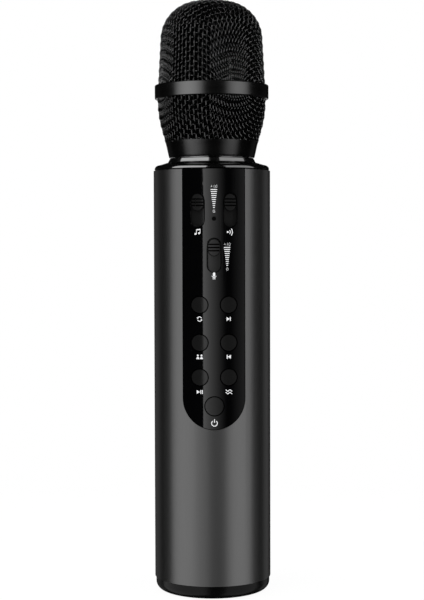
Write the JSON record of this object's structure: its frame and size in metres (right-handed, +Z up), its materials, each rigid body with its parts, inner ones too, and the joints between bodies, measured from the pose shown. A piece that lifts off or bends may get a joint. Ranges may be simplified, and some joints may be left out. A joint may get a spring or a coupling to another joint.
{
  "type": "karaoke microphone",
  "caption": "Handheld karaoke microphone: straight metal tube with a curved control panel of sliders and push buttons, a woven wire head that unscrews, and a speaker in the base.",
  "frame": {"origin": "centre of the base's underside, on the tube's axis", "axes": "+Z up the tube towards the head, -Y the way the control panel faces, +X to the right of the panel"},
  "size_m": [0.052, 0.052, 0.2631],
  "materials": {
    "anodised_tube": "satin anodised dark gunmetal",
    "gloss_panel": "polished black moulding",
    "gloss_trim": "polished black chrome",
    "satin_cap": "satin black moulding",
    "control_plastic": "satin black moulded controls",
    "painted_wire": "matte black powder coat on woven wire",
    "painted_ring": "satin black paint on turned metal",
    "foam": "open-cell acoustic foam",
    "black_rubber": "moulded rubber",
    "plain_steel": "zinc-plated steel",
    "dark_steel": "phosphated steel",
    "nickel": "nickel-plated",
    "board_green": "solder-masked circuit board",
    "cell_wrap": "shrink-wrapped cell",
    "frame_plastic": "grey moulded frame",
    "cone_paper": "pressed paper cone",
    "copper_wire": "enamelled copper winding",
    "pale_plastic": "natural moulded plastic",
    "pipe_clear": "smoked clear light pipe"
  },
  "bodies": {
    "body": {"base_cap": "satin_cap", "base_screws": "plain_steel", "speaker_grille": "dark_steel", "speaker_gasket": "black_rubber", "speaker_basket": "dark_steel", "speaker_magnet": "dark_steel", "speaker_surround": "black_rubber", "body_tube": "anodised_tube", "inner_frame": "frame_plastic", "port_board": "board_green", "usb_port": "nickel", "audio_jack": "control_plastic", "battery_cell": "cell_wrap", "main_board": "board_green", "board_screws": "plain_steel", "tact_switches": "control_plastic", "fader_bodies": "dark_steel", "indicator_led": "pale_plastic", "light_pipe": "pipe_clear", "control_panel": "gloss_panel", "shoulder_ring": "gloss_trim", "neck_ring": "gloss_trim", "neck_nut": "plain_steel", "capsule_holder": "satin_cap", "shock_mount": "black_rubber", "mic_capsule": "nickel", "capsule_screen": "dark_steel"},
    "button_mode": {"button_mode": "control_plastic", "plunger_mode": "pale_plastic"},
    "button_next": {"button_next": "control_plastic", "plunger_next": "pale_plastic"},
    "button_duet": {"button_duet": "control_plastic", "plunger_duet": "pale_plastic"},
    "button_previous": {"button_previous": "control_plastic", "plunger_previous": "pale_plastic"},
    "button_play_pause": {"button_play_pause": "control_plastic", "plunger_play_pause": "pale_plastic"},
    "button_reverb": {"button_reverb": "control_plastic", "plunger_reverb": "pale_plastic"},
    "button_power": {"button_power": "control_plastic", "plunger_power": "pale_plastic"},
    "slider_music": {"slider_music": "control_plastic", "lever_music": "pale_plastic"},
    "slider_echo": {"slider_echo": "control_plastic", "lever_echo": "pale_plastic"},
    "slider_mic": {"slider_mic": "control_plastic", "lever_mic": "pale_plastic"},
    "cone": {"speaker_cone": "cone_paper", "voice_coil": "copper_wire"},
    "head_lift": {"foam_liner": "foam"},
    "head": {"grille_collar": "painted_ring", "lower_grille": "painted_wire", "grille_band": "painted_ring", "upper_grille": "painted_wire"}
  },
  "joints": [
    {"name": "slide_music", "type": "slide", "parent": "body", "child": "slider_music", "axis": [0, 0, 1], "range_m": [-0.0067, 0]},
    {"name": "slide_echo", "type": "slide", "parent": "body", "child": "slider_echo", "axis": [0, 0, 1], "range_m": [-0.0067, 0]},
    {"name": "slide_mic", "type": "slide", "parent": "body", "child": "slider_mic", "axis": [0, 0, 1], "range_m": [-0.0067, 0]},
    {"name": "press_mode", "type": "slide", "parent": "body", "child": "button_mode", "axis": [0, 1, 0], "range_m": [0, 0.0006], "stiffness_N_per_m": 1000},
    {"name": "press_next", "type": "slide", "parent": "body", "child": "button_next", "axis": [0, 1, 0], "range_m": [0, 0.0006], "stiffness_N_per_m": 1000},
    {"name": "press_duet", "type": "slide", "parent": "body", "child": "button_duet", "axis": [0, 1, 0], "range_m": [0, 0.0006], "stiffness_N_per_m": 1000},
    {"name": "press_previous", "type": "slide", "parent": "body", "child": "button_previous", "axis": [0, 1, 0], "range_m": [0, 0.0006], "stiffness_N_per_m": 1000},
    {"name": "press_play_pause", "type": "slide", "parent": "body", "child": "button_play_pause", "axis": [0, 1, 0], "range_m": [0, 0.0006], "stiffness_N_per_m": 1000},
    {"name": "press_reverb", "type": "slide", "parent": "body", "child": "button_reverb", "axis": [0, 1, 0], "range_m": [0, 0.0006], "stiffness_N_per_m": 1000},
    {"name": "press_power", "type": "slide", "parent": "body", "child": "button_power", "axis": [0, 1, 0], "range_m": [0, 0.0006], "stiffness_N_per_m": 1000},
    {"name": "cone_stroke", "type": "slide", "parent": "body", "child": "cone", "axis": [0, 0, 1], "range_m": [-0.0005, 0.0005], "stiffness_N_per_m": 1500, "deforming": ["speaker_surround"]},
    {"name": "head_lift", "type": "slide", "parent": "body", "child": "head_lift", "axis": [0, 0, 1], "range_m": [0, 0.00451]},
    {"name": "head_turn", "type": "hinge", "parent": "head_lift", "child": "head", "pos_m": [0, 0, 0.2], "axis": [0, 0, 1], "range_deg": [0, 1080]}
  ],
  "couplings": [
    {"joint": "head_lift", "follows": "head_turn", "m_per_rad": 0.00023873}
  ]
}
